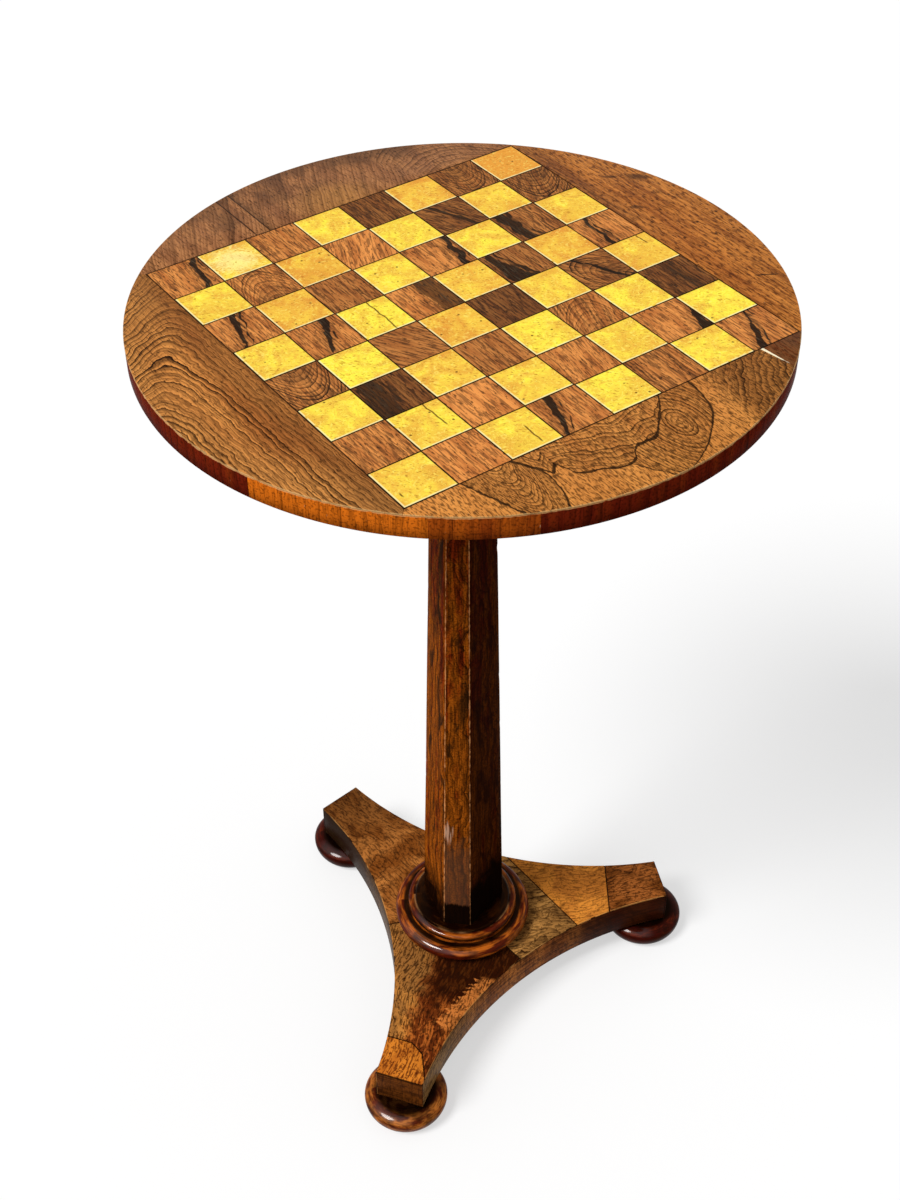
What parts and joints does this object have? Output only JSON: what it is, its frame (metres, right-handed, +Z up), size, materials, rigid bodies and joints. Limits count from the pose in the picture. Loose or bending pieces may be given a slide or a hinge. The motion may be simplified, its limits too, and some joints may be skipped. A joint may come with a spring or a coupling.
{
  "type": "chess table",
  "caption": "Round pedestal games table with an inlaid chessboard, a tapered six-sided column on a turned collar and a three-armed base on bun feet.",
  "frame": {"origin": "on the floor under the column's axis, centre of the bounding box's bottom face", "axes": "+Z up; +X to the right and +Y away from the viewer, as the picture sees the table"},
  "size_m": [0.457, 0.457, 0.725],
  "materials": {
    "pale_squares": "polished, pin-knotted",
    "rosewood_squares": "polished, streaked",
    "rosewood_border": "polished, figured",
    "rosewood_band": "polished, worn along the arris",
    "rosewood_column": "polished, worn along the arrises",
    "rosewood_base": "polished, mottled",
    "rosewood_turned": "glossy, turned",
    "ground_boards": "bare, aged",
    "bearer_wood": "bare, stained",
    "wedge_wood": "bare",
    "screw_steel": "dulled"
  },
  "bodies": {
    "root": {"base_arm_left": "ground_boards", "base_arm_near": "ground_boards", "base_arm_right": "ground_boards", "base_end_veneer_left": "rosewood_base", "base_end_veneer_near": "rosewood_base", "base_end_veneer_right": "rosewood_base", "base_side_veneer_far": "rosewood_base", "base_side_veneer_near_left": "rosewood_base", "base_side_veneer_near_right": "rosewood_base", "base_top_patch_near": "rosewood_base", "base_top_veneer_left": "rosewood_base", "base_top_veneer_near": "rosewood_base", "base_top_veneer_right_end": "rosewood_base", "base_top_veneer_right_inner": "rosewood_base", "base_top_veneer_right_middle": "rosewood_base", "bearer_block": "bearer_wood", "block_screws": "screw_steel", "border_patch_right_corner": "rosewood_border", "border_veneer_far_left": "rosewood_border", "border_veneer_far_right": "rosewood_border", "border_veneer_near_left": "rosewood_border", "border_veneer_near_right": "rosewood_border", "bun_foot_left": "rosewood_turned", "bun_foot_near": "rosewood_turned", "bun_foot_right": "rosewood_turned", "collar_lower_ring": "rosewood_turned", "collar_upper_ring": "rosewood_turned", "column_core": "ground_boards", "column_narrow_veneer_1": "rosewood_column", "column_narrow_veneer_2": "rosewood_column", "column_narrow_veneer_3": "rosewood_column", "column_wide_veneer_1": "rosewood_column", "column_wide_veneer_2": "rosewood_column", "column_wide_veneer_3": "rosewood_column", "dark_squares_rank_1": "rosewood_squares", "dark_squares_rank_2": "rosewood_squares", "dark_squares_rank_3": "rosewood_squares", "dark_squares_rank_4": "rosewood_squares", "dark_squares_rank_5": "rosewood_squares", "dark_squares_rank_6": "rosewood_squares", "dark_squares_rank_7": "rosewood_squares", "dark_squares_rank_8": "rosewood_squares", "edge_band_1": "rosewood_band", "edge_band_2": "rosewood_band", "edge_band_3": "rosewood_band", "edge_band_4": "rosewood_band", "edge_band_5": "rosewood_band", "light_squares_rank_1": "pale_squares", "light_squares_rank_2": "pale_squares", "light_squares_rank_3": "pale_squares", "light_squares_rank_4": "pale_squares", "light_squares_rank_5": "pale_squares", "light_squares_rank_6": "pale_squares", "light_squares_rank_7": "pale_squares", "light_squares_rank_8": "pale_squares", "mitre_tongues": "wedge_wood", "tenon_wedges": "wedge_wood", "top_board_1": "ground_boards", "top_board_2": "ground_boards", "top_board_3": "ground_boards"}
  },
  "joints": []
}
